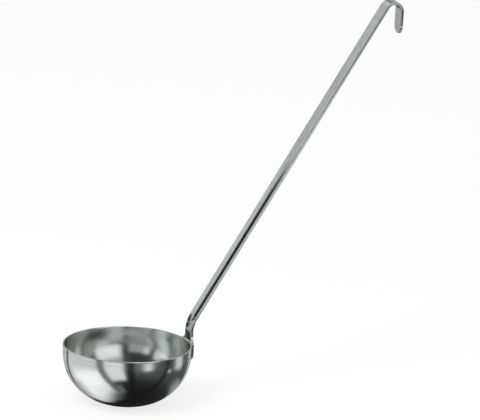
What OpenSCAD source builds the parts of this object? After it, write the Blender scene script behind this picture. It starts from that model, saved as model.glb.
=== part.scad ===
// Soup ladle: a deep-drawn steel bowl and a bent strip handle, joined by spot welds.
// The frame stands on the middle of the bowl's flat base. +Z is the bowl's axis, mouth up,
// and +X points from the bowl's axis to the handle.

/* [Bowl] */
// Outer diameter of the bowl at its rim
bowl_d = 100; // [80:1:120]
// Diameter of the small flat base
base_d = 19; // [12:1:30]
// Height of the straight band under the rim
band_h = 6; // [3:0.5:12]
// Thickness of the bowl's sheet
bowl_t = 1.2; // [0.8:0.1:2]

/* [Strip] */
// Width of the handle's strip
strip_w = 13.5; // [11:0.5:18]
// Thickness of the strip
strip_t = 2.3; // [1.8:0.1:3]
// Radius of the strip's rounded edges
strip_edge_r = 0.5; // [0.2:0.05:0.8]
// Length of the strip between the neck's bend and the hook's bend
strip_l = 283; // [200:1:320]
// Angle between the strip and the bowl's axis
lean = 31.8; // [20:0.1:42]
// How much the strip thins on every side where it is bent
bend_thin = 0.1; // [0.1:0.01:0.15]

/* [Neck] */
// Height of the straight neck above the rim
neck_h = 6.5; // [5.5:0.5:20]
// Inner radius of the neck's bend
neck_r = 24; // [8:1:40]

/* [Gutter] */
// Length over which the gutter runs out to a flat face, from the neck's bend upwards
gutter_l = 150; // [60:1:190]
// Flat land on the strip's back, on each side of the gutter
gutter_land = 0.3; // [0.2:0.1:1]

/* [Weld tab] */
// Width of the tab that lies against the bowl
tab_w = 23.5; // [20:0.5:30]
// Reach of the tab below the rim
tab_drop = 14; // [11:0.5:20]
// Radius of the tab's lower corners
tab_corner_r = 6; // [2:0.5:9]
// Radius of the hollow shoulders between the tab and the neck
shoulder_r = 4.5; // [2:0.25:4.5]

/* [Hook] */
// Inner radius of the hook, which takes the rail that the ladle hangs on
hook_r = 5.4; // [3:0.1:9]
// Angle that the hook turns through
hook_turn = 150; // [120:1:165]
// Length of the hook's straight leg, with its rounded tip
leg_l = 18.5; // [12:0.5:30]

/* [Spot welds] */
// Diameter of a weld nugget
nugget_d = 5; // [3:0.25:5.5]
// Sideways distance between the two upper welds
weld_pitch = 12; // [9:0.5:14]
// Distance of the upper welds below the rim
weld_high = 4.2; // [3.5:0.1:5]
// Distance of the lower weld below the rim
weld_low = 9.4; // [8:0.1:10.5]
// Share of each sheet's thickness that a nugget takes up
nugget_depth = 0.6; // [0.3:0.05:0.8]
// Depth of the dimple that the electrode leaves on each side
dimple_depth = 0.12; // [0.05:0.01:0.2]

/* [Hidden] */
$fn = 180;
// Reach of a cutting solid past what it cuts
over = 1;
// Length of a bend's end that the straight stretch after it takes in
lap = 0.2;

bowl_r = bowl_d / 2;
base_r = base_d / 2;
// The wall curves from the flat base to the band in one quarter circle
curve_r = bowl_r - base_r;
rim_z = curve_r + band_h;
rim_edge_r = bowl_t / 2;

// The gutter keeps the bowl's own curve. Its front and back are arcs about one centre, which lies
// gutter_c in front of the strip's front plane.
gutter_c = sqrt(pow(bowl_r, 2) - pow(strip_w / 2, 2));
gutter_back_r = norm([gutter_c + strip_t, strip_w / 2 - strip_edge_r - gutter_land]);

// The gutter's centre line leans away to the front, so that the gutter gets shallower upwards
run_out = atan((bowl_r - gutter_c) / gutter_l);

// The hollow shoulders can't be rounder than the step from the tab to the neck is wide
hollow_r = min(shoulder_r, (tab_w - strip_w) / 2);

// Place of the axis that the hook bends about, and height of the hook's top above the base
hook_x = gutter_c + bend_axis(neck_r) * (1 - cos(lean)) + strip_l * sin(lean)
    + bend_axis(hook_r) * cos(lean);
hook_z = rim_z + neck_h + bend_axis(neck_r) * sin(lean) + strip_l * cos(lean)
    - bend_axis(hook_r) * sin(lean);
top_z = hook_z + hook_r + strip_t - 2 * bend_thin;

// Volume of the bowl up to its rim, in millilitres
inner_curve_r = curve_r - bowl_t;
brim_ml = PI / 1000 * (pow(bowl_r - bowl_t, 2) * band_h + pow(base_r, 2) * inner_curve_r
    + PI / 2 * base_r * pow(inner_curve_r, 2) + 2 / 3 * pow(inner_curve_r, 3));
echo(str("Bowl filled to the brim: ", round(brim_ml), " ml"));
echo(str("Overall height: ", round(top_z), " mm"));
echo(str("Hook's axis at x = ", hook_x, ", z = ", hook_z));

// Half section of the space inside the bowl's outer face, grown by g and reaching up to z
module bowl_half(g, z) {
    translate([0, -g]) square([base_r, curve_r + g]);
    intersection() {
        translate([base_r, curve_r]) circle(r = curve_r + g);
        translate([base_r, -g]) square([curve_r + g, curve_r + g]);
    }
    translate([0, curve_r]) square([bowl_r + g, z - curve_r]);
}

module bowl_section() {
    difference() {
        bowl_half(0, rim_z - rim_edge_r);
        bowl_half(-bowl_t, rim_z + over);
    }
    translate([bowl_r - rim_edge_r, rim_z - rim_edge_r]) circle(r = rim_edge_r);
}

// Places its children at each weld, with +X square to the bowl's wall and x = 0 on its outer face
module at_welds() {
    side = asin(weld_pitch / 2 / bowl_r);
    for (place = [[side, weld_high], [-side, weld_high], [0, weld_low]]) {
        below = max(place[1] - band_h, 0);
        rotate([0, 0, place[0]])
            translate([base_r, 0, rim_z - min(place[1], band_h)])
                rotate([0, below / curve_r * 180 / PI, 0])
                    translate([curve_r, 0, 0]) children();
    }
}

module nuggets() {
    in_bowl = bowl_t * nugget_depth;
    in_tab = strip_t * nugget_depth;
    at_welds() translate([-in_bowl, 0, 0]) rotate([0, 90, 0])
        cylinder(d = nugget_d, h = in_bowl + in_tab, $fn = 48);
}

// Balls that press the electrode's dimples into the face at x
module dimples(x, dir) {
    ball_r = (pow(nugget_d / 2, 2) + pow(dimple_depth, 2)) / 2 / dimple_depth;
    at_welds() translate([x + dir * (ball_r - dimple_depth), 0, 0]) sphere(r = ball_r);
}

module bowl() {
    color("silver") difference() {
        rotate_extrude() bowl_section();
        nuggets();
        dimples(-bowl_t, -1);
    }
}

// Cross-section of the flat strip, thinned on every side. x runs from the front plane to the
// back, y across the strip.
module flat_section(thin = 0) {
    e = strip_edge_r;
    translate([thin, e - strip_w / 2]) square([strip_t - 2 * thin, strip_w - 2 * e]);
    translate([e, thin - strip_w / 2]) square([strip_t - 2 * e, strip_w - 2 * thin]);
    for (x = [e, strip_t - e], y = [e - strip_w / 2, strip_w / 2 - e])
        translate([x, y]) circle(r = e - thin, $fn = 32);
}

// Same, with the gutter
module gutter_section(thin = 0) {
    difference() {
        flat_section(thin);
        translate([-gutter_c, 0]) circle(r = bowl_r + thin);
    }
    intersection() {
        translate([-gutter_c, 0]) circle(r = gutter_back_r - thin);
        translate([strip_t / 2, strip_edge_r - strip_w / 2])
            square([strip_t, strip_w - 2 * strip_edge_r]);
    }
}

// Distance from the strip's front plane to the axis that it is bent about
function bend_axis(inner_r) = inner_r + strip_t - bend_thin;

// Bends the cross-section in children towards the strip's back. The strip runs along +Z, with +X
// to its back and x = 0 on its front plane.
module bend(inner_r, turn) {
    r = bend_axis(inner_r);
    translate([r, 0, 0]) mirror([1, 0, 0]) rotate([90, 0, 0])
        rotate_extrude(angle = turn) translate([r, 0]) mirror([1, 0]) children();
}

// Carries its children past such a bend, where they take in the bend's thinner end
module past_bend(inner_r, turn) {
    r = bend_axis(inner_r);
    translate([r, 0, 0]) rotate([0, turn, 0]) translate([-r, 0, 0]) children();
}

// Round bar of radius r about the gutter's centre line
module gutter_bar(r) {
    translate([-gutter_c, 0, 0]) rotate([0, -run_out, 0])
        translate([0, 0, -over]) cylinder(r = r, h = gutter_l + 2 * over);
}

// Straight stretch from the neck's bend to the hook's bend
module straight() {
    difference() {
        translate([0, 0, -lap]) linear_extrude(strip_l + lap) flat_section();
        gutter_bar(bowl_r);
    }
    intersection() {
        gutter_bar(gutter_back_r);
        translate([strip_t / 2, strip_edge_r - strip_w / 2, -lap])
            cube([strip_t, strip_w - 2 * strip_edge_r, gutter_l]);
    }
}

// Outline of the tab, its shoulders and the neck, seen along the x axis, as [y, z]
module tab_outline() {
    translate([-strip_w / 2, rim_z - over]) square([strip_w, neck_h + over]);
    for (side = [0, 1]) mirror([side, 0]) {
        translate([0, rim_z - tab_drop]) square([tab_w / 2 - tab_corner_r, tab_drop]);
        translate([0, rim_z - tab_drop + tab_corner_r]) square([tab_w / 2, tab_drop - tab_corner_r]);
        translate([tab_w / 2 - tab_corner_r, rim_z - tab_drop + tab_corner_r])
            circle(r = tab_corner_r);
        difference() {
            translate([0, rim_z - over]) square([strip_w / 2 + hollow_r, hollow_r + over]);
            translate([strip_w / 2 + hollow_r, rim_z + hollow_r]) circle(r = hollow_r);
        }
    }
}

// Weld tab, shoulders and straight neck: a shell that lies on the bowl's outer face
module tab() {
    intersection() {
        rotate_extrude() difference() {
            bowl_half(strip_t, rim_z + neck_h);
            bowl_half(0, rim_z + neck_h + over);
        }
        rotate([90, 0, 90]) linear_extrude(bowl_r + 2 * strip_t) tab_outline();
    }
}

// Hook with a straight leg and a rounded tip
module hook() {
    bend(hook_r, hook_turn) flat_section(bend_thin);
    tip_z = leg_l - strip_w / 2;
    past_bend(hook_r, hook_turn) intersection() {
        translate([0, 0, -lap]) linear_extrude(leg_l + lap) flat_section();
        rotate([0, 90, 0]) linear_extrude(strip_t) {
            translate([-tip_z, 0]) circle(d = strip_w);
            translate([-tip_z, -strip_w / 2]) square([tip_z + lap, strip_w]);
        }
    }
}

module handle() {
    color("gainsboro") difference() {
        union() {
            tab();
            translate([gutter_c, 0, rim_z + neck_h]) {
                bend(neck_r, lean) gutter_section(bend_thin);
                past_bend(neck_r, lean) {
                    straight();
                    translate([0, 0, strip_l]) hook();
                }
            }
        }
        nuggets();
        dimples(strip_t, 1);
    }
}

module spot_welds() {
    color("dimgray") nuggets();
}

bowl();
handle();
spot_welds();
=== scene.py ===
# %% [markdown]
# # A soup ladle in satin steel
# The ladle is three kinds of thing: a deep-drawn bowl, a handle pressed and bent from one flat
# strip, and the spot welds that hold them together. The construction comes in first, as a fixed
# frame. The looks are then built in the same place and at the same size.

# %% Load the frame
import math

import bmesh
import bpy
import numpy as np
from mathutils import Matrix, Vector


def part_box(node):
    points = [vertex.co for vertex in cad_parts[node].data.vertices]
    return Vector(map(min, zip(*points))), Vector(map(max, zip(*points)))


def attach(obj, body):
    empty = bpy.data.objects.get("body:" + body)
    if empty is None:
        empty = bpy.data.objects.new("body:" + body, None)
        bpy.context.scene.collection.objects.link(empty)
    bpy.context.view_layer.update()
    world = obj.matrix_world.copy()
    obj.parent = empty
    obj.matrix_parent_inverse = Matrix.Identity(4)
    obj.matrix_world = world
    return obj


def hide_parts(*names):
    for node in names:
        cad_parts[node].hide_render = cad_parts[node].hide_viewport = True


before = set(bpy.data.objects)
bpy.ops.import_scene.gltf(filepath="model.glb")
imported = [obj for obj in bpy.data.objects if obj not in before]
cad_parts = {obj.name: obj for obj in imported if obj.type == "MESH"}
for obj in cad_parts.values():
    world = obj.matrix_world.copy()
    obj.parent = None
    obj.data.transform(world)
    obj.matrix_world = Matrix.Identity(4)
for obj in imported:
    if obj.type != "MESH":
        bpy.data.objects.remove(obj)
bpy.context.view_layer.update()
print("nodes:", sorted(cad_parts))

# %% [markdown]
# ## Sizes
# The sizes are those of the construction, in millimetres, and MM turns them into Blender's
# metres. The bowl's radius and height and the tab's width and drop are read from the frame, so
# that they can't drift apart from it. A few belong to the looks alone: how long the gutter stays
# full and how long it takes to fade, the small round on the shoulder's tip, and the length over
# which the strip gets thinner at the ends of a bend.

# %% Sizes of the bowl
MM = 0.001
bowl_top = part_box("bowl")[1]
BOWL_R = bowl_top.x
RIM_Z = bowl_top.z
BAND_H = 6 * MM
CURVE_R = RIM_Z - BAND_H
BASE_R = BOWL_R - CURVE_R
SHEET = 1.2 * MM
print(f"bowl {BOWL_R / MM:.1f} mm in radius, {RIM_Z / MM:.1f} mm deep, base {BASE_R / MM:.1f} mm")

# %% Sizes of the handle
handle_low, handle_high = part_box("handle")
TAB_W = handle_high.y * 2
TAB_DROP = RIM_Z - handle_low.z
TAB_CORNER_R = 6 * MM
SHOULDER_R = 4.5 * MM
SHOULDER_TIP_R = 0.5 * MM

STRIP_W = 13.5 * MM
STRIP_T = 2.3 * MM
STRIP_L = 283 * MM
EDGE_R = 0.5 * MM
LEAN = math.radians(31.8)
NECK_H = 6.5 * MM
NECK_Z = RIM_Z + NECK_H
HOOK_TURN = math.radians(150)
LEG_L = 18.5 * MM

# The strip is thinner on both faces where it is bent. It is bent about axes behind its back,
# whose distances are taken from its front face.
BEND_THIN = 0.1 * MM
BEND_EASE = 2 * MM
NECK_AXIS = 24 * MM + STRIP_T - BEND_THIN
HOOK_AXIS = 5.4 * MM + STRIP_T - BEND_THIN

# The gutter's curve is the bowl's own, about a line that lies this far in front of the strip.
GUTTER_C = math.sqrt(BOWL_R ** 2 - (STRIP_W / 2) ** 2)
GUTTER_FULL = 96 * MM
GUTTER_FADE = 70 * MM
print(f"tab {TAB_W / MM:.1f} mm wide, {TAB_DROP / MM:.1f} mm below the rim")

# %% [markdown]
# ## Arithmetic that builds nodes
# Geometry and materials are both worked out by small sums on fields. Typed as Math nodes they are
# hard to read, so one class wraps a socket and gives it Python's operators: an expression such as
# 1 - mask then adds its nodes by itself. Graph.add makes every other kind of node from its type,
# its settings and the values or links of its sockets.

# %% Graph and Wire
class Wire:
    """A node's output that Python can calculate with."""

    def __init__(self, graph, socket):
        self.graph, self.socket = graph, socket

    def __add__(self, other):
        return self.graph.calc("ADD", self, other)

    def __sub__(self, other):
        return self.graph.calc("SUBTRACT", self, other)

    def __rsub__(self, other):
        return self.graph.calc("SUBTRACT", other, self)

    def __mul__(self, other):
        return self.graph.calc("MULTIPLY", self, other)

    def __truediv__(self, other):
        return self.graph.calc("DIVIDE", self, other)

    def __rtruediv__(self, other):
        return self.graph.calc("DIVIDE", other, self)

    def __neg__(self):
        return self.graph.calc("SUBTRACT", 0, self)

    def __lt__(self, other):
        return self.graph.calc("LESS_THAN", self, other)

    def __gt__(self, other):
        return self.graph.calc("GREATER_THAN", self, other)

    __radd__ = __add__
    __rmul__ = __mul__


class Graph:
    """A node tree under construction."""

    def __init__(self, tree):
        self.tree = tree

    def add(self, kind, settings=None, sockets=None):
        """Adds a node, and returns a function that gives an output by its name or number."""
        node = self.tree.nodes.new(kind)
        for name, value in (settings or {}).items():
            setattr(node, name, value)
        for key, value in (sockets or {}).items():
            if isinstance(value, Wire):
                self.tree.links.new(value.socket, node.inputs[key])
            else:
                node.inputs[key].default_value = value
        return lambda key=0: Wire(self, node.outputs[key])

    def calc(self, operation, *values):
        """Adds a Math node for one operation on wires or numbers."""
        return self.add("ShaderNodeMath", {"operation": operation}, dict(enumerate(values)))()

    def clamp(self, value, low, high):
        return self.calc("MAXIMUM", self.calc("MINIMUM", value, high), low)

    def smooth(self, value, start, end):
        """0 before start, 1 after end, with a soft step between them."""
        settings = {"interpolation_type": "SMOOTHSTEP"}
        sockets = {"Value": value, "From Min": start, "From Max": end}
        return self.add("ShaderNodeMapRange", settings, sockets)("Result")

    def parts(self, vector):
        split = self.add("ShaderNodeSeparateXYZ", None, {0: vector})
        return split("X"), split("Y"), split("Z")

    def vector(self, x, y, z):
        return self.add("ShaderNodeCombineXYZ", None, {"X": x, "Y": y, "Z": z})()

    def distance(self, place, point):
        settings = {"operation": "DISTANCE"}
        return self.add("ShaderNodeVectorMath", settings, {0: place, 1: tuple(point)})("Value")


print("Wire turns sums into Math nodes, and Graph adds all the other nodes")

# %% [markdown]
# ## Geometry trees
# Each tree declares its sizes as named inputs, so that the modifier shows them as a form to fill
# in. A modifier stores an input under the socket's identifier, which isn't its name. Once the
# tree has run, its result is copied into a plain mesh and the modifier goes.

# %% Make and apply a geometry tree
def start_tree(name, inputs):
    """Returns the graph of a new geometry tree and its inputs by name."""
    tree = bpy.data.node_groups.new(name, "GeometryNodeTree")
    sockets = tree.interface
    sockets.new_socket("Geometry", in_out="INPUT", socket_type="NodeSocketGeometry")
    sockets.new_socket("Geometry", in_out="OUTPUT", socket_type="NodeSocketGeometry")
    for title, kind in inputs.items():
        sockets.new_socket(title, in_out="INPUT", socket_type=f"NodeSocket{kind}")
    graph = Graph(tree)
    return graph, graph.add("NodeGroupInput")


def end_tree(graph, geometry):
    graph.add("NodeGroupOutput", {"is_active_output": True}, {"Geometry": geometry})
    return graph.tree


def run_tree(tree, source, values, name):
    """Runs the tree on the source mesh and returns the result as a plain mesh object."""
    obj = bpy.data.objects.new(name, source)
    bpy.context.scene.collection.objects.link(obj)
    modifier = obj.modifiers.new(tree.name, "NODES")
    modifier.node_group = tree
    for item in tree.interface.items_tree:
        if item.in_out == "INPUT" and item.name in values:
            modifier[item.identifier] = values[item.name]
    bpy.context.view_layer.update()
    evaluated = obj.evaluated_get(bpy.context.evaluated_depsgraph_get())
    mesh = bpy.data.meshes.new_from_object(evaluated)
    obj.modifiers.remove(modifier)
    obj.data = mesh
    mesh.name = name
    return obj


print("a tree is started, ended and run by one helper each")

# %% Close a mesh and turn its faces outwards
MERGE = 0.002 * MM


def face_outwards(obj):
    """Merges doubles, turns every face outwards and prints what the mesh has become."""
    shell = bmesh.new()
    shell.from_mesh(obj.data)
    bmesh.ops.remove_doubles(shell, verts=shell.verts, dist=MERGE)
    bmesh.ops.recalc_face_normals(shell, faces=shell.faces)
    open_edges = sum(not edge.is_manifold for edge in shell.edges)
    triangles = sum(len(face.verts) - 2 for face in shell.faces)
    volume = shell.calc_volume(signed=True)
    shell.to_mesh(obj.data)
    shell.free()
    print(f"{obj.name}: {triangles} triangles, {open_edges} open edges, {volume / MM ** 3:.0f} mm3")


print(f"points nearer than {MERGE / MM} mm are merged")

# %% [markdown]
# ## Spot welds
# A spot weld is made by two copper electrodes that squeeze the sheets while a current melts a
# nugget between them. The nugget can't be seen. What shows is a shallow round dimple on each
# side. The construction knows where the nuggets are, so the dimples are placed by its mesh: its
# loose islands are found, and each one's middle is a weld.

# %% Find the welds
DIMPLE_R = 2.5 * MM
DIMPLE_DEPTH = 0.12 * MM


def island_middles(obj):
    """The middle of each loose piece of a mesh."""
    mesh = bmesh.new()
    mesh.from_mesh(obj.data)
    bmesh.ops.remove_doubles(mesh, verts=mesh.verts, dist=MERGE)
    left = set(mesh.verts)
    middles = []
    while left:
        island = set()
        reached = [left.pop()]
        while reached:
            vert = reached.pop()
            island.add(vert)
            for edge in vert.link_edges:
                other = edge.other_vert(vert)
                if other in left:
                    left.remove(other)
                    reached.append(other)
        middles.append(sum((v.co for v in island), Vector()) / len(island))
    mesh.free()
    return middles


WELDS = island_middles(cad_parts["spot_welds"])
for weld in WELDS:
    print("weld at", [round(c / MM, 1) for c in weld], "mm")

# %% [markdown]
# ## The bowl
# A press draws the bowl from a disc of sheet, and a lathe trims and rounds its rim. The shape is
# one outline turned about an axis, so it is made as on a lathe: the outline is a chain of
# points, and the tree spins it. Its rows are close together round the rim, where the curve is
# tight. The grid's own rows and columns give the point's number and its angle.

# %% The bowl's outline
# How many rows of faces each stretch of the outline gets.
ROWS_FLAT = 6
ROWS_CURVE = 52
ROWS_BAND = 6
ROWS_RIM = 12


def arc(middle, radius, start, end, steps):
    """Points (r, z) on an arc, without its first one. Angles in degrees, from the r axis."""
    angles = np.radians(np.linspace(start, end, steps + 1)[1:])
    return [(middle[0] + radius * math.cos(a), middle[1] + radius * math.sin(a)) for a in angles]


def straight(start, end, steps):
    """Points on a straight stretch, without its first one."""
    return [tuple(np.array(start) + (np.array(end) - start) * i / steps)
            for i in range(1, steps + 1)]


def bowl_outline():
    """From the inner pole up the inside, over the rim and down the outside."""
    foot = (BASE_R, CURVE_R)
    inner_r = BOWL_R - SHEET
    top = RIM_Z - SHEET / 2
    points = [(0, SHEET)]
    points += straight((0, SHEET), (BASE_R, SHEET), ROWS_FLAT)
    points += arc(foot, CURVE_R - SHEET, -90, 0, ROWS_CURVE)
    points += straight((inner_r, CURVE_R), (inner_r, top), ROWS_BAND)
    points += arc((BOWL_R - SHEET / 2, top), SHEET / 2, 180, 0, ROWS_RIM)
    points += straight((BOWL_R, top), (BOWL_R, CURVE_R), ROWS_BAND)
    points += arc(foot, CURVE_R, 0, -90, ROWS_CURVE)
    points += straight((BASE_R, 0), (0, 0), ROWS_FLAT)
    return points


def point_mesh(points, name):
    """A mesh with only the points of an outline, in their order."""
    mesh = bpy.data.meshes.new(name)
    mesh.from_pydata([(r, 0, z) for r, z in points], [], [])
    return mesh


outline = bowl_outline()
print(len(outline), "points in the bowl's outline")

# %% Dimples of the electrodes
# A dimple's edge rises from the inner to the outer one of these distances from its middle.
DIMPLE_OUTER = DIMPLE_R * 1.25
DIMPLE_INNER = DIMPLE_R * 0.55


def dimples(graph, place, can_be):
    """How far a point at place is pressed in by the electrodes. can_be is 1 on the weld's side."""
    pressed = 0
    for weld in WELDS:
        pressed = graph.smooth(graph.distance(place, weld), DIMPLE_OUTER, DIMPLE_INNER) + pressed
    return pressed * can_be * DIMPLE_DEPTH


print(f"a dimple is {2 * DIMPLE_OUTER / MM:.2f} mm across and {DIMPLE_DEPTH / MM} mm deep")

# %% The lathe tree
def lathe_tree():
    """Spins the chain of points it is given about Z, and presses the inner dimples."""
    graph, given = start_tree("Lathe", {"Around": "Int", "Material": "Material"})
    chain, around = given("Geometry"), given("Around")
    count = graph.add("GeometryNodeAttributeDomainSize", None, {"Geometry": chain})("Point Count")
    grid = graph.add("GeometryNodeMeshGrid", None, {"Vertices X": count, "Vertices Y": around + 1})
    index = graph.add("GeometryNodeInputIndex")()
    row = graph.calc("FLOOR", (index + 0.5) / (around + 1))
    turn = (index - row * (around + 1)) / around * math.tau
    place = graph.add("GeometryNodeInputPosition")()
    point = graph.add("GeometryNodeSampleIndex", {"data_type": "FLOAT_VECTOR"},
                      {"Geometry": chain, "Value": place, "Index": row})("Value")
    r, _, z = graph.parts(point)
    spun = graph.vector(r * graph.calc("COSINE", turn), r * graph.calc("SINE", turn), z)
    # The inner electrode presses towards +X, which is out through the wall.
    inner = row < ROWS_FLAT + ROWS_CURVE + ROWS_BAND
    dent = dimples(graph, spun, inner)
    moved = graph.add("GeometryNodeSetPosition", None,
                      {"Geometry": grid("Mesh"), "Position": spun,
                       "Offset": graph.vector(dent, 0, 0)})()
    joined = graph.add("GeometryNodeMergeByDistance", None,
                       {"Geometry": moved, "Distance": MERGE})()
    real = graph.add("GeometryNodeRealizeInstances", None, {"Geometry": joined})()
    painted = graph.add("GeometryNodeSetMaterial", None,
                        {"Geometry": real, "Material": given("Material")})()
    return end_tree(graph, painted)


lathe = lathe_tree()
print(len(lathe.nodes), "nodes in the lathe")

# %% [markdown]
# ## The handle, cut flat and then bent
# The real handle starts as a flat blank: a strip with a rounded tip at one end and a wide weld tab
# with hollow shoulders at the other. Its edges are tumbled round, and only then is it pressed
# into a gutter and bent. The model is made in the same order. The blank is a closed plate, in
# coordinates that run along it, across it and through its thickness. Its rows are close together
# where it will be bent.

# %% Half width of the blank along its length
BLANK_START = TAB_DROP + NECK_H
NECK_L = NECK_AXIS * LEAN
HOOK_L = HOOK_AXIS * HOOK_TURN
BLANK_END = NECK_L + STRIP_L + HOOK_L + LEG_L
# How far apart the rows are on each stretch, and how many steps a quarter circle is drawn in.
TAB_STEP = 0.45 * MM
BEND_STEP = 0.4 * MM
STRIP_STEP = 1.6 * MM
ROUND_STEPS = 14


def stations(start, end, step):
    """Places from start to end that are about a step apart, without the first one."""
    count = max(1, math.ceil((end - start) / step))
    return [start + (end - start) * i / count for i in range(1, count + 1)]


def blank_edge():
    """Points (along, half width) up one side of the blank, from the tab's foot to the tip."""
    quarter = [math.pi / 2 * i / ROUND_STEPS for i in range(ROUND_STEPS + 1)]
    tab = TAB_W / 2
    strip = STRIP_W / 2
    rim = -NECK_H
    edge = [(TAB_CORNER_R * (1 - math.cos(a)) - BLANK_START,
             tab - TAB_CORNER_R + TAB_CORNER_R * math.sin(a)) for a in quarter]
    edge += [(s, tab) for s in stations(edge[-1][0], rim - SHOULDER_TIP_R, TAB_STEP)]
    # The shoulder's tip is so small that every second step will do.
    edge += [(rim - SHOULDER_TIP_R * (1 - math.sin(a)),
              tab - SHOULDER_TIP_R * (1 - math.cos(a))) for a in quarter[2::2]]
    edge += [(rim + SHOULDER_R * (1 - math.cos(a)),
              strip + SHOULDER_R * (1 - math.sin(a))) for a in quarter[1:]]
    edge += [(s, strip) for s in stations(edge[-1][0], NECK_L, TAB_STEP)]
    edge += [(s, strip) for s in stations(NECK_L, NECK_L + STRIP_L, STRIP_STEP)]
    edge += [(s, strip) for s in stations(NECK_L + STRIP_L, BLANK_END - LEG_L, BEND_STEP)]
    edge += [(s, strip) for s in stations(BLANK_END - LEG_L, BLANK_END - strip, TAB_STEP * 2)]
    edge += [(BLANK_END - strip * (1 - math.sin(a)), strip * math.cos(a)) for a in quarter[1:]]
    return edge


side = blank_edge()
print(f"blank {(side[-1][0] - side[0][0]) / MM:.0f} mm long, with {len(side)} rows")

# %% The blank as a closed plate
# How many faces there are across the plate, and round each of its two long rims.
ACROSS = 30
EDGE_STEPS = 5


def plate_rings():
    """(inset, height) of the rings that round the plate's edge, from the front to the back."""
    turns = [math.pi / 2 * i / EDGE_STEPS for i in range(EDGE_STEPS + 1)]
    front = [(EDGE_R * (1 - math.sin(a)), EDGE_R * (1 - math.cos(a))) for a in turns]
    return front + [(inset, STRIP_T - height) for inset, height in reversed(front)]


def plate_loop():
    """The plate's outline in order: up its right side, down its left side and along its foot."""
    start, half = side[0]
    right = [(s, -w) for s, w in side]
    left = [(s, w) for s, w in reversed(side[:-1])]
    foot = [(start, half * (1 - 2 * i / ACROSS)) for i in range(1, ACROSS)]
    return np.array(right + left + foot)


def into_the_plate(loop):
    """Unit vectors square to the outline. The loop runs round the plate with it on the left."""
    tangent = np.roll(loop, -1, 0) - np.roll(loop, 1, 0)
    inward = np.stack([-tangent[:, 1], tangent[:, 0]], 1)
    return inward / np.linalg.norm(inward, axis=1, keepdims=True)


def face_numbers(loop_start, inner_start):
    """The points of one flat face, by row along the blank and by column across it."""
    last = len(side) - 1
    rows = np.arange(last + 1)
    inner = np.arange((last - 1) * (ACROSS - 1)).reshape(last - 1, ACROSS - 1)
    numbers = np.zeros((last + 1, ACROSS + 1), int)
    numbers[:, 0] = loop_start + rows
    numbers[:, ACROSS] = loop_start + 2 * last - rows
    numbers[0, 1:ACROSS] = loop_start + 2 * last + ACROSS - np.arange(1, ACROSS)
    numbers[last] = loop_start + last
    numbers[1:last, 1:ACROSS] = inner_start + inner
    return numbers.tolist()


print(len(plate_loop()), "points round the plate")

# %% The blank's mesh
def blank_mesh():
    """The plate's points are (along, across, through), with 0 through on its front face."""
    loop = plate_loop()
    inward = into_the_plate(loop)
    rings = plate_rings()
    size = len(loop)
    points, faces = [], []
    for inset, height in rings:
        points += [(s, w, height) for s, w in (loop + inward * inset).tolist()]
    for first in range(0, (len(rings) - 1) * size, size):
        for i in range(size):
            j = (i + 1) % size
            faces.append((first + i, first + j, first + size + j, first + size + i))
    for first in (0, (len(rings) - 1) * size):
        numbers = face_numbers(first, len(points))
        for row in numbers[1:-1]:
            right, left = np.array(points[row[0]]), np.array(points[row[-1]])
            points += [(right + (left - right) * i / ACROSS).tolist() for i in range(1, ACROSS)]
        for near, far in zip(numbers, numbers[1:]):
            for i in range(ACROSS):
                quad = (near[i], near[i + 1], far[i + 1], far[i])
                # At the tip a row is one point, so a face can have fewer corners than four.
                faces.append(tuple(dict.fromkeys(quad)))
    mesh = bpy.data.meshes.new("handle_blank")
    mesh.from_pydata(points, [], faces)
    return mesh


blank = blank_mesh()
print(len(blank.vertices), "points in the blank")

# %% [markdown]
# ## Pressing and bending
# Each point of the blank is carried to its place by one sum. The path is a chain of bends and
# straights: a point goes through each stretch as far as it reaches, and turns with it. The
# gutter is the bowl's own curve, at full depth on the neck, so that the tab lies against the
# bowl, and it fades away up the handle. Bending stretches the steel, so it is a tenth of a
# millimetre thinner on both faces there. The point's place on the blank is kept as an attribute,
# and the finish uses it, because the satin lines follow the steel round its bends.

# %% The press-and-bend tree
def bent_place(graph, given, blank_place):
    """Where a point of the blank comes to, as a vector. A stretch without an axis is straight."""
    along, across, through = graph.parts(blank_place)
    # The tab and the neck stand upright. Their curve is the bowl's outer face, grown by the
    # point's depth in the strip, and below the bowl's straight band that face draws in.
    height = graph.calc("MINIMUM", along, 0) + NECK_Z
    drop = graph.calc("MAXIMUM", CURVE_R - height, 0)
    reach = through + CURVE_R
    ring = graph.calc("SQRT", reach * reach - drop * drop) + BASE_R
    curved = graph.calc("SQRT", ring * ring - across * across) - GUTTER_C
    fade = 1 - graph.smooth(along, given("Gutter full"),
                            given("Gutter full") + given("Gutter fade"))
    offset = through + fade * (curved - through)
    # The path of the front face, followed through each stretch as far as the point reaches.
    x, z = GUTTER_C, height
    heading, thin, start = 0, 0, 0
    stretches = [("Neck axis", given("Lean")), (None, given("Strip length")),
                 ("Hook axis", given("Hook turn")), (None, given("Leg length"))]
    for axis, amount in stretches:
        length = given(axis) * amount if axis else amount
        gone = graph.clamp(along - start, 0, length)
        if axis:
            radius = given(axis)
            ahead = heading + gone / radius
            x = x + radius * (graph.calc("COSINE", heading) - graph.calc("COSINE", ahead))
            z = z + radius * (graph.calc("SINE", ahead) - graph.calc("SINE", heading))
            heading = ahead
            into = graph.smooth(along, start, start + BEND_EASE)
            out_of = graph.smooth(along, start + length, start + length - BEND_EASE)
            thin = BEND_THIN * into * out_of + thin
        else:
            x = x + gone * graph.calc("SINE", heading)
            z = z + gone * graph.calc("COSINE", heading)
        start = length + start
    # The front face and the back face move towards each other.
    offset = offset + thin * (1 - through * (2 / STRIP_T))
    x = x + offset * graph.calc("COSINE", heading)
    z = z - offset * graph.calc("SINE", heading)
    return graph.vector(x, across, z)


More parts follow.
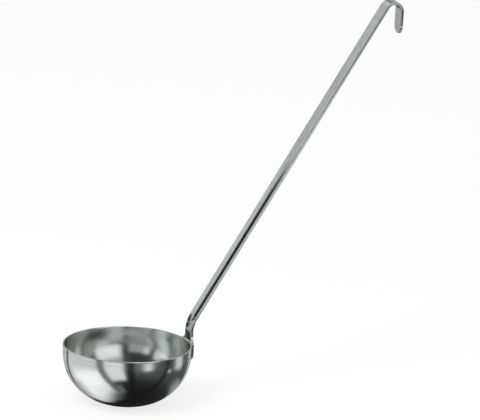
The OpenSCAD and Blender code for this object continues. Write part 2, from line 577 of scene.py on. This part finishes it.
def bend_tree():
    """Bends the blank it is given, presses the outer dimples and keeps each point's old place."""
    inputs = {"Neck axis": "Float", "Lean": "Float", "Strip length": "Float",
              "Hook axis": "Float", "Hook turn": "Float", "Leg length": "Float",
              "Gutter full": "Float", "Gutter fade": "Float", "Material": "Material"}
    graph, given = start_tree("Press and bend", inputs)
    place = graph.add("GeometryNodeInputPosition")()
    kept = graph.add("GeometryNodeStoreNamedAttribute",
                     {"data_type": "FLOAT_VECTOR", "domain": "POINT"},
                     {"Geometry": given("Geometry"), "Name": "blank", "Value": place})()
    bent = graph.add("GeometryNodeSetPosition", None,
                     {"Geometry": kept, "Position": bent_place(graph, given, place)})()
    _, _, through = graph.parts(graph.add("GeometryNodeInputNamedAttribute",
                                          {"data_type": "FLOAT_VECTOR"}, {"Name": "blank"})())
    outer = through > STRIP_T / 2
    dent = dimples(graph, graph.add("GeometryNodeInputPosition")(), outer)
    pressed = graph.add("GeometryNodeSetPosition", None,
                        {"Geometry": bent, "Offset": graph.vector(-dent, 0, 0)})()
    real = graph.add("GeometryNodeRealizeInstances", None, {"Geometry": pressed})()
    painted = graph.add("GeometryNodeSetMaterial", None,
                        {"Geometry": real, "Material": given("Material")})()
    return end_tree(graph, painted)


press = bend_tree()
print(len(press.nodes), "nodes in the press, path above the neck", round(BLANK_END / MM), "mm")

# %% [markdown]
# ## Satin steel
# Polished stainless steel is nearly all reflection, so its look comes from how the surface breaks
# that reflection up. The polishing wheel leaves fine lines that run one way, longer stray
# scratches, and broad bands that are a little duller or brighter. Hands and cloths leave
# smudges, and use wears small blotches into the handle. Each of these is a soft noise, read along
# the lines or in plain space, and the sheet's slight waves from pressing are a broad, very
# shallow bump.

# %% Patterns in the steel
# Each pattern: the scale, the detail and the seed of its noise.
FINE = (1, 3, 1.5)
STRAY = (0.35, 1, 7.0)
BAND = (0.06, 2, 3.0)
SMUDGE = (38, 3, 11.0)
BLOTCH = (260, 3, 17.0)
WAVE = (55, 1, 5.0)

# The stretch of its noise over which a pattern comes in.
STRAY_STEP = (0.62, 0.72)
SMUDGE_STEP = (0.35, 0.7)
BLOTCH_STEP = (0.4, 0.75)


def noise(graph, vector, scale, detail, seed):
    """Soft noise from 0 to 1. The seed shifts it, so that the patterns don't fall together."""
    return graph.add("ShaderNodeTexNoise", {"noise_dimensions": "4D"},
                     {"Vector": vector, "W": seed, "Scale": scale, "Detail": detail})("Fac")


print("line patterns: fine, stray, band; patterns in plain space: smudge, blotch, wave")

# %% [markdown]
# ## Directions and special places
# The lines need coordinates that change fast across a line and slowly along it: round the bowl,
# and along the blank of the handle, whose kept places follow the steel round its bends. Two
# things depend on the place alone. The heat of a weld leaves a faint straw-coloured ring, and
# tumbling polishes the strip's rounded edges.

# %% Coordinates of the lines
# How fast the noise of the lines changes in each direction, per metre.
ACROSS_LINES = 2600
ALONG_BOWL_LINES = 60
ALONG_HANDLE_LINES = 55
NUGGET_GRAIN = 900


def lines_round_the_bowl(graph, place):
    """Rings about the bowl's axis, close together on the wall from the base to the rim."""
    x, y, z = graph.parts(place)
    radius = graph.calc("SQRT", x * x + y * y)
    return graph.vector(x * ALONG_BOWL_LINES, y * ALONG_BOWL_LINES, (radius + z) * ACROSS_LINES)


def blank_parts(graph):
    return graph.parts(graph.add("ShaderNodeAttribute", {"attribute_name": "blank"})("Vector"))


def lines_along_the_handle(graph, _):
    along, across, through = blank_parts(graph)
    return graph.vector(along * ALONG_HANDLE_LINES, across * ACROSS_LINES, through * ACROSS_LINES)


def grain_of_a_nugget(graph, place):
    x, y, z = graph.parts(place)
    return graph.vector(x * NUGGET_GRAIN, y * NUGGET_GRAIN, z * NUGGET_GRAIN)


print(f"lines about {1 / ACROSS_LINES / MM:.2f} mm wide")

# %% Weld rings and polished edges
# The ring comes in over the first pair of distances from a weld's middle, and fades over the
# second.
GLOW_IN = (DIMPLE_R * 0.6, DIMPLE_R * 1.1)
GLOW_OUT = (DIMPLE_R * 2.2, DIMPLE_R * 1.2)
# How far from the middle of the strip's thickness the polish is still complete, and where it
# ends.
POLISH = (STRIP_T * 0.35, STRIP_T * 0.49)


def weld_glow(graph, place):
    """1 on the ring of straw colour round each weld, and 0 elsewhere."""
    ring = 0
    for weld in WELDS:
        gap = graph.distance(place, weld)
        ring = graph.smooth(gap, *GLOW_IN) * graph.smooth(gap, *GLOW_OUT) + ring
    return ring


def strip_edges(graph):
    """1 in the middle of the strip's edges, and 0 on its faces."""
    _, _, through = blank_parts(graph)
    return 1 - graph.smooth(graph.calc("ABSOLUTE", through - STRIP_T / 2), *POLISH)


print(f"weld rings up to {GLOW_OUT[0] * 2 / MM:.0f} mm across")

# %% [markdown]
# ## One function for every steel
# The three finishes differ in a few amounts only, so one function makes them all. The patterns
# vary the roughness, and they mix in a duller steel. Two bumps follow each other: the sheet's
# waves first, and the fine lines on top of them. The metal is otherwise plain.

# %% The steel function
STEEL = (0.72, 0.75, 0.735, 1)
DULL_STEEL = (0.585, 0.61, 0.598, 1)
STRAW = (0.62, 0.56, 0.45, 1)
STRAW_SHARE = 0.45
# How much each pattern adds to the roughness, and the limits of the sum.
ROUGHER = {"fine": 0.07, "band": 0.05, "stray": 0.05, "smudge": 0.03, "edge": -0.05}
ROUGH_LIMITS = (0.05, 0.6)
NOISE_MEAN = 0.5
# How much dull steel each pattern mixes in. A band does so above this value of its noise.
DULLER = {"smudge": 0.25, "band": 0.5, "stray": 0.35}
BAND_START = 0.3
# How deep a stray scratch is against the fine lines.
STRAY_DEPTH = 0.8
# The Mix node has several sockets named A, B and Result. These are the numbers of the colour ones.
MIX_A, MIX_B, MIX_RESULT = 6, 7, 2


def tint(graph, mask, colour, other):
    """Mixes two colours by a mask."""
    return graph.add("ShaderNodeMix", {"data_type": "RGBA"},
                     {"Factor": mask, MIX_A: colour, MIX_B: other})(MIX_RESULT)


def bump(graph, height, depth, below):
    """A bump of a depth in metres. below holds the normal of a bump under it, if any."""
    return graph.add("ShaderNodeBump", None,
                     {"Strength": 1, "Distance": depth, "Height": height, **below})("Normal")


def start_material(name):
    material = bpy.data.materials.new(name)
    material.use_nodes = True
    material.node_tree.nodes.clear()
    return material, Graph(material.node_tree)


def steel(name, lines_of, rough, grain, wave, wear, edge_of=None):
    """A satin steel with its lines along lines_of. rough is its mean roughness. grain and wave are
    the depths of the lines and the waves in metres. wear is the share of blotches, and edge_of
    gives the mask of the polished edges."""
    material, graph = start_material(name)
    place = graph.add("ShaderNodeTexCoord")("Object")
    lines = lines_of(graph, place)
    fine = noise(graph, lines, *FINE)
    stray = graph.smooth(noise(graph, lines, *STRAY), *STRAY_STEP)
    band = noise(graph, lines, *BAND)
    smudge = graph.smooth(noise(graph, place, *SMUDGE), *SMUDGE_STEP)
    blotch = graph.smooth(noise(graph, place, *BLOTCH), *BLOTCH_STEP)

    roughness = rough + ROUGHER["fine"] * (fine - NOISE_MEAN)
    roughness = roughness + ROUGHER["band"] * (band - NOISE_MEAN)
    roughness = roughness + ROUGHER["stray"] * stray + ROUGHER["smudge"] * smudge
    if edge_of:
        roughness = roughness + ROUGHER["edge"] * edge_of(graph)

    shade = DULLER["smudge"] * smudge + DULLER["band"] * (band - BAND_START)
    shade = graph.clamp(shade + DULLER["stray"] * stray + wear * blotch, 0, 1)
    colour = tint(graph, shade, STEEL, DULL_STEEL)
    colour = tint(graph, STRAW_SHARE * weld_glow(graph, place), colour, STRAW)

    waves = bump(graph, noise(graph, place, *WAVE), wave, {})
    bumped = bump(graph, fine + STRAY_DEPTH * stray, grain, {"Normal": waves})
    shader = graph.add("ShaderNodeBsdfPrincipled", None,
                       {"Base Color": colour, "Metallic": 1.0,
                        "Roughness": graph.clamp(roughness, *ROUGH_LIMITS), "Normal": bumped})()
    graph.add("ShaderNodeOutputMaterial", None, {"Surface": shader})
    return material


print("steel colours:", STEEL[:3], DULL_STEEL[:3])

# %% The three finishes
BOWL_STEEL = steel("bowl_steel", lines_round_the_bowl, rough=0.17, grain=0.0008 * MM,
                   wave=0.02 * MM, wear=0)
HANDLE_STEEL = steel("handle_steel", lines_along_the_handle, rough=0.1, grain=0.0006 * MM,
                     wave=0.005 * MM, wear=1, edge_of=strip_edges)
WELD_STEEL = steel("weld_steel", grain_of_a_nugget, rough=0.4, grain=0.01 * MM,
                   wave=0.02 * MM, wear=0)
print("materials:", [m.name for m in (BOWL_STEEL, HANDLE_STEEL, WELD_STEEL)])

# %% [markdown]
# ## Making the pieces
# The trees run here, now that their materials exist. Each piece is merged at its seam and poles,
# turned so that its faces point outwards, and shaded smoothly. It then rides on the root body, the
# construction node that it stands for is hidden, and its finish is the one its tree gave it. The
# nuggets' solids are right as they are, so they only get their material.

# %% The bowl
# How many faces there are round the bowl.
BOWL_AROUND = 480


def hand_over(obj, node):
    """Closes and smooths a piece, hangs it on the root body and hides the part that it replaces."""
    face_outwards(obj)
    obj.data.shade_smooth()
    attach(obj, "root")
    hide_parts(node)


bowl = run_tree(lathe, point_mesh(outline, "bowl_outline"),
                {"Around": BOWL_AROUND, "Material": BOWL_STEEL}, "ladle_bowl")
hand_over(bowl, "bowl")

# %% The handle and the welds
handle = run_tree(press, blank,
                  {"Neck axis": NECK_AXIS, "Lean": LEAN, "Strip length": STRIP_L,
                   "Hook axis": HOOK_AXIS, "Hook turn": HOOK_TURN, "Leg length": LEG_L,
                   "Gutter full": GUTTER_FULL, "Gutter fade": GUTTER_FADE,
                   "Material": HANDLE_STEEL}, "ladle_handle")
hand_over(handle, "handle")

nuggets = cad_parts["spot_welds"]
nuggets.data.materials.clear()
nuggets.data.materials.append(WELD_STEEL)
print("finish of the nuggets:", nuggets.data.materials[0].name)

# %% [markdown]
# ## The studio
# Metal shows what stands round it, so a ladle is lit by boards more than by lamps. White boards
# give its broad bright faces, and dark cards between them give the edges that make it read as
# steel. They are part of the sky and of the floor, and only reflections see them. What the
# camera sees is a plain white background, and the floor still takes the ladle's soft shadow.

# %% Helpers for boards
WHITE = (1, 1, 1, 1)


def ray_kinds(graph):
    """1 for the rays that see the boards, and 1 for the camera's own rays."""
    path = graph.add("ShaderNodeLightPath")
    mirrored = graph.calc("MAXIMUM", path("Is Glossy Ray"), path("Is Transmission Ray"))
    return mirrored, path("Is Camera Ray")


def within(graph, value, middle, half, soft):
    """1 where the value is within half of the middle, with soft edges."""
    gap = graph.calc("ABSOLUTE", value - middle)
    return graph.smooth(gap, half + soft, half - soft)


def facing(graph, angle, middle, half, soft):
    """The same for an angle in degrees, which wraps round."""
    return within(graph, graph.calc("WRAP", angle - middle, 180, -180), 0, half, soft)


def angle_from_front(graph, x, y):
    """Degrees round from the front, -Y, towards +X."""
    return graph.calc("ARCTAN2", x, -y) * math.degrees(1)


def lay(tone, mask, level):
    """Lays a board of one level over the tone so far."""
    return tone + mask * (level - tone)


print("a board is a mask with soft edges, laid over what is under it")

# %% [markdown]
# ## The sky
# Each reflection in the ladle was followed back to the direction that it comes from, and a board
# stands there: the bright patch inside the bowl is the white board in front on the right, and the
# dark half of the gutter is the dark card straight behind. A later board covers an earlier one.
# For light that isn't mirrored the sky is even.

# %% The sky
# The sky's level between the boards, and its level for light that isn't mirrored.
SKY = 0.42
SKY_LIGHT = 0.9
# Each board: the way it faces, its height, half its width and half its height, how soft its edges
# are, all in degrees, and its level.
SKY_BOARDS = {
    "white board, front right": (20, 20, 25, 17, 7, 1.05),
    "dark card, beside it": (-16, 20, 6, 34, 3, 0.02),
    "dark card, high on the left": (-62, 39, 40, 15, 3, 0.03),
    "white strip, left": (-57, 2, 4, 22, 3, 0.95),
    "dark strip, left": (-70, 8, 4, 30, 2, 0.04),
    "pale strip, left": (-84, 4, 9, 26, 3, 0.75),
    "dark strip, far left": (-100, 0, 4, 22, 3, 0.06),
    "dark card, right": (47, -4, 8, 10, 4, 0.1),
    "dark strip, high on the right": (55, 26, 7, 22, 3, 0.03),
    "white strip, high on the right": (76, 26, 8, 22, 3, 0.9),
    "dark strip, far right": (98, 5, 5, 25, 4, 0.08),
    "dark strip, behind on the right": (168, 43, 10, 19, 3, 0.05),
    "pale board, high behind": (-145, 47, 28, 12, 4, 0.9),
    "white board, low on the left": (-112, 13, 22, 7, 4, 1.2),
    "white board, behind on the left": (-142, 17, 17, 14, 1.5, 0.68),
    "dark card, behind at the neck": (-141, 2, 10, 8, 1.5, 0.02),
    "dark card, straight behind": (-178.5, 3.5, 20.5, 6.9, 1.2, 0.01),
    "pale board, above the dark card": (-168, 24, 9, 10, 3, 0.72),
    "white board, overhead": (0, 90, 186, 24, 4, 1.0),
}


def sky():
    """The camera sees plain white, reflections see the boards, and other light an even sky."""
    world = bpy.data.worlds.new("studio_sky")
    world.use_nodes = True
    world.node_tree.nodes.clear()
    graph = Graph(world.node_tree)
    x, y, z = graph.parts(graph.add("ShaderNodeTexCoord")("Generated"))
    turn = angle_from_front(graph, x, y)
    rise = graph.calc("ARCSINE", graph.clamp(z, -1, 1)) * math.degrees(1)
    tone = SKY
    for middle, height, half_turn, half_rise, soft, level in SKY_BOARDS.values():
        mask = facing(graph, turn, middle, half_turn, soft)
        mask = mask * within(graph, rise, height, half_rise, soft)
        tone = lay(tone, mask, level)
    mirrored, camera = ray_kinds(graph)
    seen = mirrored * tone + (1 - mirrored) * (camera + (1 - camera) * SKY_LIGHT)
    background = graph.add("ShaderNodeBackground", None, {"Color": WHITE, "Strength": seen})()
    graph.add("ShaderNodeOutputWorld", None, {"Surface": background})
    return world


bpy.context.scene.world = sky()
print(len(SKY_BOARDS), "boards in the sky")

# %% [markdown]
# ## The floor
# The bowl's outside mirrors what lies round it on the table, out to about 20 cm, and the handle
# mirrors what lies farther off. So the floor has boards too, as sectors of rings, and between
# them it gets paler away from the bowl. To the camera a share of it is plain white, and the rest
# takes the soft shadow.

# %% The floor
FLOOR_HALF = 8.0
FLOOR_PALE = (0.8, 0.8, 0.8, 1)
FLOOR_WHITE_SHARE = 0.8
# The boards on the floor fan out from the point of the bowl that is nearest to the camera.
FAN = Vector((-6, -42, 0)) * MM
# Between the boards the floor's level rises from near to far over this reach.
FLOOR_NEAR = 0.012
FLOOR_FAR = 0.2
FLOOR_REACH = 190 * MM
# Each board: the way it lies and half its width in degrees, where it starts and ends in
# millimetres, how soft its edges are, in degrees and in millimetres, and its level.
FLOOR_BOARDS = {
    "pale floor all round": (0, 182, 480, 8000, 1, 90, 0.5),
    "dim floor, right": (62, 50, 62, 380, 10, 25, 0.085),
    "white board, left": (-111, 33, 25, 380, 2, 9, 0.78),
    "bright part of it": (-106, 27, 34, 112, 7, 30, 1.3),
    "dark line, left": (-148, 3, 20, 380, 1.5, 8, 0.01),
    "edge strip, left": (-154.5, 2.5, 60, 380, 1.5, 10, 1.0),
    "dark line at the left edge": (-164, 5, 20, 128, 2, 6, 0.01),
    "grey gap": (-74, 6, 22, 380, 2, 5, 0.16),
    "grey end of the gap": (-67, 16, 13, 33, 5, 5, 0.17),
    "white board, front left": (-47, 19, 46, 380, 3, 8, 0.92),
    "dark card, front": (-14, 8, 0, 380, 4, 8, 0.012),
    "bright patch, front right": (22, 9, 122, 185, 9, 28, 1.25),
    "dark strip, right": (64, 4, 0, 380, 3, 8, 0.008),
    "spark": (71, 1.8, 98, 116, 1.5, 6, 1.6),
    "pale strip, right": (90, 9, 120, 380, 5, 25, 0.8),
    "edge strip, right": (128, 3, 60, 380, 2, 10, 0.85),
    "pale floor beside the handle": (34, 10, 220, 1120, 4, 15, 0.7),
    "dark floor beyond it": (34, 14, 1150, 1500, 4, 15, 0.1),
    "pale floor at the neck": (-167, 6, 130, 245, 2, 8, 0.65),
    "dark card at the neck": (174, 8, 130, 260, 2, 8, 0.01),
    "dark floor behind on the left": (-152, 9, 262, 1500, 3, 12, 0.02),
    "pale floor behind": (-178, 14, 275, 1500, 3, 12, 0.5),
    "dim floor behind": (167, 12, 560, 860, 4, 40, 0.15),
    "pale floor under the far side": (165, 60, 50, 78, 20, 8, 0.4),
}


def floor_material():
    """White paint that only reflections see as boards, and the camera as nearly white."""
    material, graph = start_material("studio_floor")
    x, y, _ = graph.parts(graph.add("ShaderNodeTexCoord")("Object"))
    x, y = x - FAN.x, y - FAN.y
    turn = angle_from_front(graph, x, y)
    reach = graph.calc("SQRT", x * x + y * y)
    tone = FLOOR_NEAR + (FLOOR_FAR - FLOOR_NEAR) * graph.smooth(reach, 0, FLOOR_REACH)
    for middle, half, start, end, soft, fade, level in FLOOR_BOARDS.values():
        mask = facing(graph, turn, middle, half, soft)
        middle_reach, half_reach = (start + end) / 2 * MM, (end - start) / 2 * MM
        mask = mask * within(graph, reach, middle_reach, half_reach, fade * MM)
        tone = lay(tone, mask, level)
    mirrored, camera = ray_kinds(graph)
    pale = graph.add("ShaderNodeBsdfDiffuse", None, {"Color": FLOOR_PALE})()
    white = graph.add("ShaderNodeEmission", None,
                      {"Color": WHITE, "Strength": mirrored * tone + (1 - mirrored)})()
    share = mirrored + camera * FLOOR_WHITE_SHARE
    shader = graph.add("ShaderNodeMixShader", None, {0: share, 1: pale, 2: white})()
    graph.add("ShaderNodeOutputMaterial", None, {"Surface": shader})
    return material


def floor():
    """One flat square, which is part of the studio and not of the ladle."""
    mesh = bpy.data.meshes.new("floor")
    h = FLOOR_HALF
    mesh.from_pydata([(-h, -h, 0), (h, -h, 0), (h, h, 0), (-h, h, 0)], [], [(0, 1, 2, 3)])
    obj = bpy.data.objects.new("floor", mesh)
    mesh.materials.append(floor_material())
    bpy.context.scene.collection.objects.link(obj)


floor()
print("floor", FLOOR_HALF * 2, "m wide")

# %% [markdown]
# ## The lamp
# The sky alone would light the ladle evenly and leave hardly any shadow. One large round lamp,
# high on the left in front, adds a soft one. Reflections don't see it, so that its round spot
# doesn't show in the steel.

# %% One soft lamp
LAMP_PLACE = Vector((-0.9, -0.7, 1.6))
LAMP_SIZE = 0.9
LAMP_WATTS = 22


def lamp():
    """A round area lamp that points at the middle of the bowl's base."""
    data = bpy.data.lights.new("soft_lamp", "AREA")
    data.shape = "DISK"
    data.size = LAMP_SIZE
    data.energy = LAMP_WATTS
    obj = bpy.data.objects.new("soft_lamp", data)
    aim = LAMP_PLACE.to_track_quat("Z", "Y").to_matrix().to_4x4()
    obj.matrix_world = Matrix.Translation(LAMP_PLACE) @ aim
    obj.visible_glossy = False
    bpy.context.scene.collection.objects.link(obj)


lamp()
print("lamp", round(LAMP_PLACE.length, 2), "m away")

# %% [markdown]
# ## The camera
# The picture shows no perspective, so the camera stands far away behind a long lens. Its turn,
# its height and the slight lean of the picture were found from the ellipse of the bowl's rim and
# the line of the handle. The rim's middle is put where it lies in the picture, in pixels from
# the upper left corner.

# %% Camera
PICTURE_W, PICTURE_H = 480, 420
TURN = math.radians(-20)
RISE = math.radians(15.2)
ROLL = math.radians(2)
PIXELS_PER_METRE = 1288
RIM_AT = (127.2, 344.1)
# The lens and the sensor are in millimetres. The camera sees up to FAR_SHARE times its distance.
LENS = 500
SENSOR = 36
FAR_SHARE = 4


def camera():
    """Turns about the ladle, tilts and leans, and stands where its scale is the picture's."""
    back = Vector((math.sin(TURN) * math.cos(RISE), -math.cos(TURN) * math.cos(RISE),
                   math.sin(RISE)))
    level = Vector((math.cos(TURN), math.sin(TURN), 0))
    upright = back.cross(level)
    right = level * math.cos(ROLL) + upright * math.sin(ROLL)
    up = upright * math.cos(ROLL) - level * math.sin(ROLL)
    distance = PICTURE_W / PIXELS_PER_METRE * LENS / SENSOR
    aim = Vector((0, 0, RIM_Z))
    aim += right * ((PICTURE_W / 2 - RIM_AT[0]) / PIXELS_PER_METRE)
    aim -= up * ((PICTURE_H / 2 - RIM_AT[1]) / PIXELS_PER_METRE)
    data = bpy.data.cameras.new("camera")
    data.lens = LENS
    data.sensor_width = SENSOR
    data.clip_end = distance * FAR_SHARE
    obj = bpy.data.objects.new("camera", data)
    axes = Matrix((right, up, back)).transposed().to_4x4()
    obj.matrix_world = Matrix.Translation(aim + back * distance) @ axes
    bpy.context.scene.collection.objects.link(obj)
    bpy.context.scene.camera = obj
    print(f"camera {distance:.2f} m away")


camera()
bpy.context.scene.view_settings.view_transform = "Standard"
